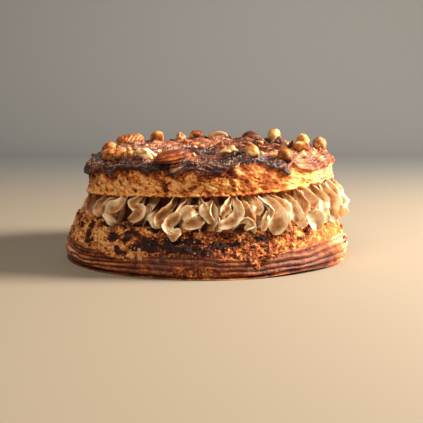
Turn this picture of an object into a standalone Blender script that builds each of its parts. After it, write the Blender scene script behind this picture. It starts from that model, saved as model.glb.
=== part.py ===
"""Paris-brest: a ring of choux pastry, split, filled with piped praline cream and baked with nuts on top.

Units are metres, +Z is up, and the origin is the middle of the ring on the surface that it rests on.
The front faces -Y. Bearings are in degrees, anticlockwise from +X, so the front is at -90.
"""

import math

import bmesh
import bpy
from mathutils import Euler, Matrix, Vector, noise
from mathutils.bvhtree import BVHTree

# Driving sizes
MM = 0.001
BASE_RADIUS = 117 * MM  # widest, at the piped band near the bottom
BASE_HEIGHT = 34.5 * MM
HOLE_RADIUS = 32 * MM
CREAM_RADIUS = 111.5 * MM  # to the tips of the outer petals
LID_RADIUS = 102.8 * MM  # at the crumb side, below the lip
LID_BOTTOM = 60.8 * MM
LID_HEIGHT = 28.5 * MM
LID_TILT = 1.8 * MM  # more at the back right, where the dough has risen higher
LID_SHIFT = Vector((1.6 * MM, 0, 0))  # the lid and the cream sit a little to one side
CREAM_SHIFT = Vector((3 * MM, 0, 0))
CLEARANCE = 0.45 * MM  # between pieces that touch

# Facets
BASE_STEPS = 78
LID_STEPS = 74
HEART_STEPS = 34

# Piped ridges of the base, ropes of dough on the lid and the torn crumb between them
BAND_PITCH = 4.7 * MM
BAND_DEPTH = 1.9 * MM
ROPE_PITCH = 8 * MM
ROPE_DEPTH = 2.2 * MM
LIP_DEPTH = 2.4 * MM
CRUMB_LUMP = 12 * MM
CRUMB_DEPTH = 2.0 * MM

# Swirls of cream
OUTER_SWIRLS = 24
INNER_SWIRLS = 9
SWIRL_RADIUS = 15.5 * MM
SWIRL_PETALS = 6
SWIRL_TWIST = 1.0  # radians from bottom to top
SWIRL_LEAN = 5 * MM  # of the top, in under the lid
MIDDLE_RADIUS = 70 * MM  # between the outer and the inner row
SWIRL_DROP = 4.5 * MM  # below the top of the base
SWIRL_RISE = 1.5 * MM  # above the underside of the lid, which presses into them
PETAL_CUT = 0.42  # depth of the valleys between petals, as a share of the radius


def smooth_step(low, high, value):
    """0 below low, 1 above high, and a smooth climb between them."""
    share = min(1.0, max(0.0, (value - low) / (high - low)))
    return share * share * (3 - 2 * share)


def near(bearing, centre, width):
    """1 at the centre bearing, falling smoothly to 0 at width degrees on either side."""
    away = abs((bearing - centre + 180) % 360 - 180)
    return 1 - smooth_step(0, width, away)


def around(bearing, seed):
    """A slow random wave round the ring, from about -1 to 1."""
    angle = math.radians(bearing)
    return 1.6 * noise.noise(Vector((1.9 * math.cos(angle), 1.9 * math.sin(angle), seed)))


def crags(point, size, seed):
    """Lumpy crumb: large lumps with smaller ones on them, from about -1 to 1."""
    place = point / size + Vector((seed, 0, 0))
    return noise.noise(place) + 0.6 * noise.noise(2.3 * place)


# --- sections: (radius, height) of each point round the cut face, in millimetres ------------


def base_section():
    """The lower half: flat below, a bulging piped band outside, torn crumb above it and a flat top."""
    rim, top, hole = BASE_RADIUS / MM, BASE_HEIGHT / MM, HOLE_RADIUS / MM
    step = BAND_PITCH / MM / 2
    outside = [(rim - 6.5, 0), (rim - 3, 1.3)]
    for i, inset in enumerate((0.8, 0.2, 0, 0, 0.3, 0.8, 1.6, 2.8)):  # crest, groove, crest ...
        outside.append((rim - inset, 3.6 + step * i))
    upper = [(rim - 4.6, 23.5), (rim - 6.2, 27), (rim - 8, 30.6), (rim - 10.5, 33.4), (rim - 15, top)]
    across = [(rim - 34, top), (hole + 26, top), (hole + 10, top)]
    inside = [(hole + 4, top - 3), (hole + 1.2, 25), (hole, 15), (hole + 1, 6), (hole + 3, 1.5), (hole + 6.5, 0)]
    return outside + upper + across + inside


def lid_section():
    """The upper half: flat below, a steep crumb side, an overhanging lip and a domed top."""
    rim, low, hole = LID_RADIUS / MM, LID_BOTTOM / MM, HOLE_RADIUS / MM
    high = low + LID_HEIGHT / MM
    side = [(rim - 3, low), (rim - 0.3, low + 3), (rim, low + 7.5), (rim, low + 12), (rim + 0.2, low + 16)]
    lip = [(rim - 0.9, low + 19), (rim - 3, low + 21.8), (rim - 6.5, low + 24), (rim - 10.5, low + 25.8)]
    dome = [(rim - 14, high - 1.6), (rim - 19, high - 0.6), (rim - 25, high), (rim - 31, high - 0.2)]
    slope = [(rim - 38, high - 1.2), (rim - 46, high - 3.2), (hole + 13, high - 6.5), (hole + 7.5, high - 11)]
    inside = [(hole + 5, low + 10), (hole + 6.5, low + 2.5), (hole + 10, low)]
    return side + lip + dome + slope + inside


# --- relief: how far the crust stands out from the smooth section ----------------------------


def band_top(bearing):
    """Height where the piped ridges end and torn crumb begins. In front the dough has burst over them."""
    burst = 6.5 * MM * near(bearing, -86, 34)
    return 19 * MM + 2.2 * MM * around(bearing, 3.0) - burst


def base_drift(bearing, height):
    """The piped lines sway up and down as they go round."""
    free = smooth_step(1 * MM, 6 * MM, height) * (1 - smooth_step(24 * MM, 31 * MM, height))
    return free * (1.6 * MM * around(bearing, 1.0) - 1.2 * MM * near(bearing, -72, 14))


def base_relief(bearing, height, point):
    side = smooth_step(0.3 * MM, 3 * MM, height) * (1 - 0.8 * smooth_step(31 * MM, BASE_HEIGHT, height))
    outside = smooth_step(0.5 * BASE_RADIUS, 0.6 * BASE_RADIUS, math.hypot(point.x, point.y))
    groove = 0.5 - 0.5 * math.cos(math.tau * (height - 3.6 * MM) / BAND_PITCH)
    top = band_top(bearing)
    piped = (1 - smooth_step(top - 2 * MM, top + 2 * MM, height)) * outside
    broken = 0.75 * near(bearing, -86, 10) + 0.6 * near(bearing, -64, 7)
    crumb = crags(point, CRUMB_LUMP, 5.0) * CRUMB_DEPTH * (1 - 0.8 * piped * (1 - broken))
    return side * (crumb - groove * BAND_DEPTH * piped * (1 - broken))


def lip_height(bearing):
    """Height of the lower edge of the browned dough that hangs over the crumb side of the lid."""
    droop = 10 * MM * near(bearing, 175, 75) + 5.5 * MM * near(bearing, -30, 42)
    return 80 * MM - droop + 1.8 * MM * around(bearing, 21.0)


def lid_drift(bearing, height):
    """On the front right the torn underside rides higher, over the cream that pushes out there."""
    return 5 * MM * near(bearing, -48, 42) * (1 - smooth_step(LID_BOTTOM + 1 * MM, LID_BOTTOM + 13 * MM, height))


def lid_relief(bearing, height, point):
    side = smooth_step(LID_BOTTOM, LID_BOTTOM + 3 * MM, height)
    radius = math.hypot(point.x, point.y)
    outside = smooth_step(0.5 * LID_RADIUS, 0.7 * LID_RADIUS, radius)
    lip = lip_height(bearing)
    over = smooth_step(lip - 1.5 * MM, lip + 1.5 * MM, height) * (1 - smooth_step(lip + 2 * MM, lip + 11 * MM, height))
    dough = smooth_step(lip, lip + 3 * MM, height)
    lane = radius + 4 * MM * around(bearing, 9.0)
    rope = (0.5 - 0.5 * math.cos(math.tau * lane / ROPE_PITCH)) * smooth_step(LID_BOTTOM + 15 * MM, LID_BOTTOM + 22 * MM, height)
    crumb = crags(point, CRUMB_LUMP, 12.0) * CRUMB_DEPTH * (0.8 - 0.2 * dough)
    risen = LID_TILT * near(bearing, 30, 100) * smooth_step(LID_BOTTOM + 10 * MM, LID_BOTTOM + 22 * MM, height)
    return side * (crumb + risen + outside * over * LIP_DEPTH - rope * ROPE_DEPTH)


def still(bearing, height):
    return 0.0


def smooth(bearing, height, point):
    return 0.0


def relief_ring(name, section, steps, relief, drift=still, swell=0.0):
    """A section spun round the axis, with its surface then pushed in and out by the relief."""
    points = [Vector(p) * MM for p in section]
    count = len(points)
    normals = []
    for i in range(count):
        along = points[(i + 1) % count] - points[i - 1]
        normals.append(Vector((along.y, -along.x)).normalized())
    mesh = bmesh.new()
    station = mesh.verts.layers.int.new("station")
    rim = [mesh.verts.new((p.x, 0, p.y)) for p in points]
    for i, vert in enumerate(rim):
        vert[station] = i
    edges = [mesh.edges.new((rim[i], rim[(i + 1) % count])) for i in range(count)]
    bmesh.ops.spin(
        mesh, geom=rim + edges, axis=(0, 0, 1), cent=(0, 0, 0), steps=steps, angle=math.tau, use_merge=True
    )
    for vert in mesh.verts:
        out = Vector((vert.co.x, vert.co.y, 0)).normalized()
        across = normals[vert[station]]
        bearing = math.degrees(math.atan2(vert.co.y, vert.co.x))
        height = vert.co.z
        push = relief(bearing, height, vert.co.copy()) + swell
        vert.co += (out * across.x + Vector((0, 0, across.y))) * push
        vert.co.z += drift(bearing, height)
    return closed_object(name, mesh)


# --- cream ----------------------------------------------------------------------------------


def swirl(name, bearing, distance, radius, seed, sides, rings):
    """One piped swirl: a sphere whose meridians are drawn out into leaning, twisted petals."""
    mesh = bmesh.new()
    bmesh.ops.create_uvsphere(mesh, u_segments=sides, v_segments=rings, radius=1)
    low = BASE_HEIGHT - SWIRL_DROP
    tall = LID_BOTTOM + SWIRL_RISE + lid_drift(bearing, LID_BOTTOM) - low
    for vert in mesh.verts:
        rise = math.acos(max(-1.0, min(1.0, -vert.co.z))) / math.pi
        turn = math.atan2(vert.co.y, vert.co.x)
        crest = 1 - abs(math.cos(0.5 * SWIRL_PETALS * turn)) ** 0.9
        twist = SWIRL_TWIST * rise + 0.16 * math.sin(math.tau * (rise + seed))
        girth = 1.12 * math.sin(math.pi * rise) ** 0.5 * (1 - 0.55 * rise**2)
        share = girth * (1 - PETAL_CUT * smooth_step(0.05, 0.25, rise) * (1 - crest))
        turn += twist + 0.35 * crest
        curl = 2.2 * MM * math.sin(3 * turn + seed) * smooth_step(0.6, 0.2, 1 - rise) if rise < 0.4 else 0.0
        vert.co = Vector((math.cos(turn), math.sin(turn), 0)) * share * radius
        vert.co.z = low + tall * 0.5 * (1 - math.cos(math.pi * rise)) + curl
    mesh.transform(Matrix.Rotation(seed, 4, "Z"))
    for vert in mesh.verts:
        rise = (vert.co.z - low) / tall
        vert.co.x += math.copysign(SWIRL_LEAN, distance - MIDDLE_RADIUS) * -max(0.0, rise) ** 2
    place = Matrix.Rotation(math.radians(bearing), 4, "Z") @ Matrix.Translation((distance, 0, 0))
    mesh.transform(Matrix.Translation(CREAM_SHIFT) @ place)
    return closed_object(name, mesh)


def swirl_rows():
    """(bearing, distance of its axis from the ring's, radius, seed) of each swirl, outer row first."""
    rows = []
    for i in range(OUTER_SWIRLS):
        seed = 0.37 * i + 0.9 * math.sin(2.3 * i)
        radius = SWIRL_RADIUS * (1 + 0.05 * math.sin(1.7 * i))
        rows.append((360 * i / OUTER_SWIRLS + 2.5 * math.sin(3.1 * i), CREAM_RADIUS - radius, radius, seed))
    for i in range(INNER_SWIRLS):
        radius = 0.85 * SWIRL_RADIUS
        rows.append((360 * i / INNER_SWIRLS, HOLE_RADIUS + 6 * MM + radius, radius, 1.3 * i))
    return rows


def cream_ring():
    """The heart of the cream, and in a collection of their own the swirls that stand round it."""
    swirls = bpy.data.collections.new("swirls")
    low, high = BASE_HEIGHT / MM - 1, LID_BOTTOM / MM + 6.5
    outer, inner = CREAM_RADIUS / MM - 12.5, HOLE_RADIUS / MM + 13
    heart = [(outer, low), (outer - 3, high), (inner + 3, high), (inner, low)]
    ring = relief_ring("cream", heart, HEART_STEPS, smooth)
    for i, row in enumerate(swirl_rows()):
        facets = (18, 6) if i < OUTER_SWIRLS else (10, 5)
        swirls.objects.link(swirl(f"swirl {i}", *row, *facets))
    return ring, swirls


def combine(thing, operation, others):
    """Apply a Boolean with every object in the collection others, then remove those objects."""
    bpy.context.scene.collection.children.link(others)
    modifier = thing.modifiers.new("combine", "BOOLEAN")
    modifier.operation = operation
    modifier.operand_type = "COLLECTION"
    modifier.collection = others
    modifier.solver = "MANIFOLD"
    bpy.context.view_layer.update()
    shape = bpy.data.meshes.new_from_object(thing.evaluated_get(bpy.context.evaluated_depsgraph_get()))
    thing.modifiers.clear()
    thing.data = shape
    for other in list(others.objects):
        bpy.data.objects.remove(other)
    bpy.data.collections.remove(others)


def tidy(thing):
    """Keep the main body only, without crumbs that a cut has parted from it, and join level facets."""
    mesh = bmesh.new()
    mesh.from_mesh(thing.data)
    left = set(mesh.verts)
    bodies = []
    while left:
        body, reach = set(), [left.pop()]
        while reach:
            vert = reach.pop()
            body.add(vert)
            for edge in vert.link_edges:
                other = edge.other_vert(vert)
                if other in left:
                    left.discard(other)
                    reach.append(other)
        bodies.append(body)
    bodies.sort(key=len)
    for body in bodies[:-1]:
        bmesh.ops.delete(mesh, geom=list(body), context="VERTS")
    bmesh.ops.dissolve_limit(mesh, angle_limit=0.05, verts=mesh.verts, edges=mesh.edges)
    bmesh.ops.triangulate(mesh, faces=mesh.faces)
    mesh.to_mesh(thing.data)
    mesh.free()


# --- nuts -----------------------------------------------------------------------------------

# name, kind, bearing, distance from the axis, length, width, height (millimetres), yaw, pitch, roll (degrees)
NUTS = [
    ("pecan_far_left", "pecan", 143, 84, 25, 15, 10, 15, -6, 14),
    ("hazelnut_left_a", "hazelnut", -162, 83, 12, 10, 9.5, 210, 8, 0),
    ("hazelnut_left_b", "hazelnut", -144, 95, 11, 10, 9, 40, 0, 0),
    ("half_left", "half", -137.5, 91, 12, 10, 8, 70, 0, 35),
    ("hazelnut_left_c", "hazelnut", -132.5, 88, 11, 9, 8.5, 95, 0, 0),
    ("piece_left", "piece", -123, 86, 15, 10, 8, -25, 10, 0),
    ("hazelnut_back_a", "hazelnut", 128, 71, 13, 12, 11, 120, 40, 0),
    ("piece_back", "piece", 109, 72, 8, 7, 8, 40, 0, 0),
    ("pecan_front", "pecan", -105, 96, 29, 14, 9, 28, -6, 16),
    ("hazelnut_back_b", "hazelnut", 96, 78, 14, 11, 10.5, 4, 0, 0),
    ("half_back", "half", 82, 77, 18, 13, 10, 0, 0, 45),
    ("skin_back", "skin", 59, 77, 16, 12, 11, -8, 0, 0),
    ("hazelnut_back_c", "hazelnut", 41, 79, 13, 12, 12, 60, 0, 0),
    ("piece_front", "piece", -77.5, 81, 13, 9, 8.5, 8, 0, 0),
    ("hazelnut_front_a", "hazelnut", -67.7, 89.5, 15, 12, 11, -50, 14, 0),
    ("hazelnut_front_b", "hazelnut", -52, 98.5, 15, 12, 11, -60, 22, 0),
    ("hazelnut_right_a", "hazelnut", -24, 83.5, 15, 12, 10.5, -30, 8, 0),
    ("hazelnut_right_b", "hazelnut", 18, 87, 11, 11, 12, 70, -50, 0),
    ("skin_right", "skin", 6, 96, 13, 12, 12, -40, 20, 0),
    ("piece_right", "piece", 40, 62, 9, 7, 5, 0, 0, 0),
]


def nut_shape(kind, spot, seed):
    """A point of the unit sphere, with its long axis along X, drawn into the shape of that kind of nut."""
    x, y, z = spot
    if kind == "pecan":
        wrinkle = 0.07 * math.sin(9 * x + 2 * abs(y)) * (1 - x * x)
        furrow = 0.40 * math.exp(-((y / 0.22) ** 2)) * max(z, 0)
        return Vector((x, y * (1 + wrinkle), z * (1 + wrinkle) - furrow))
    lump = 0.10 * noise.noise(1.3 * spot + Vector((seed, 0, 0)))
    if kind == "piece":
        lump = 0.55 * noise.noise(1.1 * spot + Vector((seed, 3, 0)))
        return spot * (1 + lump)
    point = 1 - 0.22 * smooth_step(0.1, 1, x)
    if kind == "half":
        z = min(z, 0.12)
    return Vector((x * 1.02, y * point, z * point)) * (1 + lump)


def nut(name, kind, bearing, distance, length, width, height, yaw, pitch, roll, seed):
    facets = {"pecan": (10, 7), "piece": (7, 5), "half": (8, 6)}.get(kind, (8, 5))
    mesh = bmesh.new()
    bmesh.ops.create_uvsphere(mesh, u_segments=facets[0], v_segments=facets[1], radius=1)
    mesh.transform(Matrix.Rotation(math.pi / 2, 4, "Y"))
    for vert in mesh.verts:
        vert.co = nut_shape(kind, vert.co, seed)
    turn = Euler([math.radians(a) for a in (roll, pitch, yaw)]).to_matrix().to_4x4()
    angle = math.radians(bearing)
    place = Matrix.Translation((distance * MM * math.cos(angle), distance * MM * math.sin(angle), 0.2))
    mesh.transform(place @ turn @ Matrix.Diagonal((length * MM / 2, width * MM / 2, height * MM / 2, 1)))
    return closed_object(name, mesh)


def tree(thing):
    mesh = bmesh.new()
    mesh.from_mesh(thing.data)
    mesh.transform(Matrix.Translation(thing.location))
    found = BVHTree.FromBMesh(mesh)
    mesh.free()
    return found


def rest(thing, supports):
    """Lower a thing until it lies a clearance above the nearest of its supports."""
    down, up = Vector((0, 0, -1)), Vector((0, 0, 1))
    own = tree(thing)
    reach = max(v.co.x for v in thing.data.vertices) - min(v.co.x for v in thing.data.vertices)
    centre = sum((v.co for v in thing.data.vertices), Vector()) / len(thing.data.vertices)
    gap = 1.0
    for support in supports:
        under = tree(support)
        for vert in thing.data.vertices:
            hit = under.ray_cast(vert.co, down)
            gap = min(gap, hit[3]) if hit[0] else gap
        for vert in support.data.vertices:
            spot = vert.co + support.location
            if math.hypot(spot.x - centre.x, spot.y - centre.y) < reach + 12 * MM:
                hit = own.ray_cast(spot, up)
                gap = min(gap, hit[3]) if hit[0] else gap
    for vert in thing.data.vertices:
        vert.co.z -= gap - CLEARANCE


# --- assembly -------------------------------------------------------------------------------


def closed_object(name, mesh):
    """A closed bmesh made into an object with its faces pointing out."""
    bmesh.ops.remove_doubles(mesh, verts=mesh.verts, dist=1e-7)
    bmesh.ops.recalc_face_normals(mesh, faces=mesh.faces)
    data = bpy.data.meshes.new(name)
    mesh.to_mesh(data)
    mesh.free()
    return bpy.data.objects.new(name, data)


def paint(thing, name, colour, roughness):
    """Give a thing a Principled material of its own."""
    material = bpy.data.materials.new(name)
    material.use_nodes = True
    shader = material.node_tree.nodes["Principled BSDF"]
    shader.inputs["Base Color"].default_value = (*colour, 1)
    shader.inputs["Roughness"].default_value = roughness
    thing.data.materials.clear()
    thing.data.materials.append(material)


NUT_COLOURS = {
    "hazelnut": (0.60, 0.33, 0.10),
    "skin": (0.20, 0.07, 0.025),
    "half": (0.72, 0.50, 0.24),
    "pecan": (0.30, 0.10, 0.03),
    "piece": (0.68, 0.44, 0.18),
}


def main():
    for thing in list(bpy.data.objects):
        bpy.data.objects.remove(thing)
    parts = bpy.data.collections.new("paris_brest")
    bpy.context.scene.collection.children.link(parts)

    base = relief_ring("base", base_section(), BASE_STEPS, base_relief, base_drift)
    paint(base, "baked choux, lower half", (0.40, 0.17, 0.055), 0.75)
    parts.objects.link(base)

    lid = relief_ring("lid", lid_section(), LID_STEPS, lid_relief, lid_drift)
    lid.location = LID_SHIFT
    paint(lid, "baked choux, upper half", (0.34, 0.14, 0.05), 0.8)
    parts.objects.link(lid)

    cream, swirls = cream_ring()
    parts.objects.link(cream)
    combine(cream, "UNION", swirls)
    clearances = bpy.data.collections.new("clearances")
    for gap in (
        relief_ring("base gap", base_section(), BASE_STEPS, base_relief, base_drift, CLEARANCE),
        relief_ring("lid gap", lid_section(), LID_STEPS, lid_relief, lid_drift, CLEARANCE),
    ):
        clearances.objects.link(gap)
    clearances.objects["lid gap"].location = LID_SHIFT
    combine(cream, "DIFFERENCE", clearances)
    tidy(cream)
    paint(cream, "praline cream", (0.62, 0.43, 0.24), 0.55)

    supports = [lid]
    for i, row in enumerate(NUTS):
        thing = nut(*row, seed=2.7 * i)
        rest(thing, supports)
        supports.append(thing)
        paint(thing, f"{row[1]} {i}", NUT_COLOURS[row[1]], 0.5)
        parts.objects.link(thing)


main()
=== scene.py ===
import random
from functools import partial
from math import acos, atan2, copysign, cos, degrees, exp, hypot, pi, radians, sin, tau

import bmesh
import bpy
from mathutils import Euler, Matrix, Quaternion, Vector
from mathutils.bvhtree import BVHTree
from mathutils.noise import cell, noise, noise_vector, seed_set


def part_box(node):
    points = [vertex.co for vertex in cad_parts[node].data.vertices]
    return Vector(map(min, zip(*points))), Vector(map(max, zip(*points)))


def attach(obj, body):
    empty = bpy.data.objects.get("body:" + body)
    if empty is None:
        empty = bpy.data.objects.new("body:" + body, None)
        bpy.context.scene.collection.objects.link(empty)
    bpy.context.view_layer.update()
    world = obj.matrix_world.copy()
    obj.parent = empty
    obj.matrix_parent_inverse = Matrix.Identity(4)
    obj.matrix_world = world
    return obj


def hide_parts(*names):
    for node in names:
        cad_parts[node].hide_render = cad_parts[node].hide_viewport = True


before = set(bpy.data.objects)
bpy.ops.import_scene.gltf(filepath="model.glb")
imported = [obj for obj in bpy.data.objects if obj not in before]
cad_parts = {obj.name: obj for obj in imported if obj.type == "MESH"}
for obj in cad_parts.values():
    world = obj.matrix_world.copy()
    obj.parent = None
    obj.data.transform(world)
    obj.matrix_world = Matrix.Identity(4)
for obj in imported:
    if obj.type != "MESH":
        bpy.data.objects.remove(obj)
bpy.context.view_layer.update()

# A baked ring of choux, split and filled with piped praline cream, nuts on top.
# Every shape below is worked out in millimetres and turned into metres when its piece is finished.
# Bearings are degrees anticlockwise from +X, so the front of the ring is at -90.
metresPerMm = 0.001
upwards = Vector((0, 0, 1))
seed_set(2)  # noise_vector starts from the clock otherwise


def ease(low, high, value):  # 0 at low, 1 at high, smooth between
    share = min(1.0, max(0.0, (value - low) / (high - low)))
    return share * share * (3 - 2 * share)


def offBearing(bearing, centre):
    return abs((bearing - centre + 180) % 360 - 180)


def nearBearing(bearing, centre, width):  # 1 at the centre, 0 from its width on
    return 1 - ease(0, width, offBearing(bearing, centre))


def outwardAt(bearing):
    return Vector((cos(radians(bearing)), sin(radians(bearing)), 0))


def wave(x, y, z):
    return noise(Vector((x, y, z)))


def slowWave(bearing, seed):  # wanders from about -1 to 1 round the ring
    return 1.6 * wave(1.9 * cos(radians(bearing)), 1.9 * sin(radians(bearing)), seed)


def lumps(spot, size, seed):  # broad lumps with smaller ones on them
    place = spot / size + Vector((seed, 0, 0))
    return noise(place) + 0.6 * noise(2.3 * place)


def nubs(spot, size, seed):  # round nubs with creases between, 0 in the creases
    place = spot / size + Vector((0, seed, 0))
    return abs(noise(place)) + 0.5 * abs(noise(2.1 * place)) + 0.25 * abs(noise(4.3 * place))


def ridged(spot, size, seed):  # sharp little edges, 0 to about 1
    place = spot / size + Vector((seed, seed, 0))
    return 1 - 1.6 * abs(noise(place)) - 0.9 * abs(noise(2.2 * place))


def splinePoint(a, b, c, d, t):  # Catmull-Rom, from b to c
    return 0.5 * ((2 * b) + (c - a) * t + (2 * a - 5 * b + 4 * c - d) * t**2 + (3 * b - a - 3 * c + d) * t**3)


def keyed(bearing, table):  # smooth run through (bearing, value) pairs all the way round
    for (a, low), (b, high) in zip(table, table[1:] + [(table[0][0] + 360, table[0][1])]):
        for here in (bearing, bearing + 360):
            if a <= here <= b:
                return low + (high - low) * ease(a, b, here)
    return table[0][1]


def burntAt(burns, bearing, across, ragged, inner, outer):  # 0 away from the burns, up to their strength in them
    burnt = 0.0
    for centre, level, wide, tall, strength in burns:
        away = offBearing(bearing, centre) / wide
        if away < 2.6:
            reach = hypot(away, (across - level) / tall) + ragged
            burnt = max(burnt, strength * (1 - ease(inner, outer, reach)))
    return burnt


def addObject(name, data):
    thing = bpy.data.objects.new(name, data)
    bpy.context.scene.collection.objects.link(thing)
    return thing


def finishMesh(name, mesh, material, smooth=True):
    for face in mesh.faces:
        face.smooth = smooth
    data = bpy.data.meshes.new(name)
    mesh.to_mesh(data)
    mesh.free()
    data.materials.append(material)
    return addObject(name, data)


def finishPiece(name, mesh, material, nodes, smooth=True):
    mesh.transform(Matrix.Scale(metresPerMm, 4))
    bmesh.ops.recalc_face_normals(mesh, faces=mesh.faces)
    piece = finishMesh(name, mesh, material, smooth)
    if nodes:
        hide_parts(*nodes)
    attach(piece, "root")


def sectionOf(spec):  # the points round a half's section, drawn smooth through its knots at the wanted gaps
    rim, hole, bottom = spec["rim"], spec["hole"], spec["bottom"]
    knots = [Vector((rim + x, bottom + z)) for x, z in spec["outer"]]
    knots += [Vector((hole + x, bottom + z)) for x, z in spec["inner"]]
    points = []
    for i in range(len(knots)):
        a, b, c, d = (knots[(i + k) % len(knots)] for k in (-1, 0, 1, 2))
        x, z = (b + c) / 2
        gap = next(gap for radius, gap in spec["gaps"] if x > radius) if z > bottom + 0.5 else spec["underGap"]
        steps = max(1, round((c - b).length / gap))
        flat = abs(b.y - c.y) < 1e-6
        for s in range(steps):
            points.append(b.lerp(c, s / steps) if flat else splinePoint(a, b, c, d, s / steps))
    return points


def spunRing(points, turns, cuts):  # returns the mesh, with each vertex's outward direction in the section
    mesh = bmesh.new()
    station = mesh.verts.layers.int.new("station")
    rim = [mesh.verts.new((p.x, 0, p.y)) for p in points]
    for i, vert in enumerate(rim):
        vert[station] = i
    edges = [mesh.edges.new((rim[i - 1], rim[i])) for i in range(len(rim))]
    bmesh.ops.spin(mesh, geom=rim + edges, axis=(0, 0, 1), cent=(0, 0, 0), steps=turns, angle=tau, use_merge=True)
    if cuts:
        hoops = [edge for edge in mesh.edges if edge.verts[0][station] == edge.verts[1][station]]
        bmesh.ops.subdivide_edges(mesh, edges=hoops, cuts=cuts)
    for vert in mesh.verts:  # back out onto the circle that the new ones cut across
        vert.co.xy = vert.co.xy.normalized() * points[vert[station]].x
    outwards = []
    for i in range(len(points)):
        along = points[(i + 1) % len(points)] - points[i - 1]
        outwards.append(Vector((along.y, -along.x)).normalized())
    return mesh, station, outwards


def ringSpots(mesh, station, outwards):  # each vertex with its place, height, radius, bearing and outward direction
    for vert in mesh.verts:
        spot = vert.co.copy()
        radius = hypot(spot.x, spot.y)
        outward = outwards[vert[station]]
        normal = Vector((spot.x / radius * outward.x, spot.y / radius * outward.x, outward.y))
        yield vert, spot, spot.z, radius, degrees(atan2(spot.y, spot.x)), normal


# the groove mark paints shade into grooves, pits and creases
crustMarks = ("torn", "scorch", "tone", "grooveShade", "sugar", "wet", "mild")  # what the crust's vertices tell its material

lowerHalf = {
    "rim": 117, "hole": 32, "bottom": 0, "top": 34.5,
    # the section's knots, each as how far out and how high: from the rim first, then from the hole's edge
    "outer": [(-6.5, 0), (-3, 1.3), (-0.8, 3.6), (-0.2, 5.95), (0, 8.3), (0, 10.65), (-0.3, 13), (-0.8, 15.35),
        (-1.6, 17.7), (-2.8, 20.05), (-5.4, 23.5), (-7.8, 27), (-9.6, 30.8), (-11.4, 33.8), (-16, 34.5), (-34, 34.5)],
    "inner": [(26, 34.5), (10, 34.5), (4, 31.5), (1.2, 25), (0, 15), (1, 6), (3, 1.5), (6.5, 0)],
    "gaps": [(101, 0.62), (83, 1.1), (40, 7), (0, 1.8)],  # from this radius outwards, the points lie this far apart
    "underGap": 12,
    "turns": 60, "cuts": 11,  # facets round the ring: 60 spun, each cut into 12
    "ridgeDepth": 1.9,
    "footLift": 2.0,  # at the front right, where the foot bends up a little
    "jolt": 0.8,  # loose scatter of the torn crumb
    "lumpSize": 12, "lumpDepth": 2.2,
    "nubSize": 5.2, "nubDepth": 2.2,
    "shardSize": 3.0, "shardDepth": 1.5,
    # bearing and height of one piped ridge there
    "pitch": [(-180, 2.8), (-150, 2.7), (-128, 3.1), (-112, 4.6), (-93, 4.6), (-84, 3.7), (-74, 3.8), (-64, 4.5),
        (-35, 4.9), (10, 4.5), (60, 3.6), (130, 3.3)],
    # bearing and height of the line where the piped ridges end and the torn crumb begins
    "ridgeTop": [(-180, 20), (-160, 19), (-148, 18.5), (-138, 17.2), (-130, 14), (-122, 12.5), (-112, 16.5),
        (-95, 17.5), (-84, 16.5), (-76, 15), (-71, 6), (-66, 14), (-57, 19), (-44, 21), (-20, 22), (20, 20), (60, 17),
        (95, 21), (130, 17), (160, 20)],
    # bearing and how much higher the top's outer edge stands there
    "risen": [(-180, 4.5), (-150, 4.5), (-135, 3.6), (-115, 2.4), (-98, 1.0), (-60, 0.3), (-30, 1.0), (-8, 2.2),
        (30, 1.5), (90, 0.5), (150, 2.5)],
    # burnt spots: bearing, height, half length in degrees, half height, strength
    "burns": [(-137.5, 33, 2.6, 2.2, 1), (-147, 29.5, 2.6, 3, 0.9), (-156, 28, 2.2, 3, 0.8), (-144.5, 22, 3, 2.6, 0.8),
        (-131, 26.5, 3.6, 3, 0.9), (-124, 27.5, 2.8, 3.6, 1), (-118, 21.8, 2.8, 3.2, 1), (-112.5, 24.5, 4, 4, 1),
        (-127.4, 33, 3, 2.2, 0.7), (-112, 33, 3, 2, 0.8), (-103.5, 27, 4.5, 2.6, 0.9), (-95.5, 27.5, 4.5, 2.6, 0.9),
        (-101.5, 21, 4, 2.2, 0.8), (-85.5, 24, 5.5, 2.4, 0.95), (-78, 26, 3, 2, 0.7), (-67.3, 29.2, 3.6, 2.6, 1),
        (-47.8, 26.2, 4, 1.8, 0.6), (-41, 30.8, 2, 1.6, 0.5)],
}


def ridgeLane(bearing, height):  # counts ridges upwards; whole numbers are the grooves
    sway = 1.6 * slowWave(bearing, 1.0) + 1.1 * wave(bearing / 13, height / 16, 4)
    sway += 0.5 * wave(bearing / 4.5, height / 7, 2)
    climb = 3.0 * nearBearing(bearing, -20, 60) + 4.0 * nearBearing(bearing, -172, 26)
    return (height - 2.2 + sway - climb * ease(3, 20, height)) / keyed(bearing, lowerHalf["pitch"])


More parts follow.
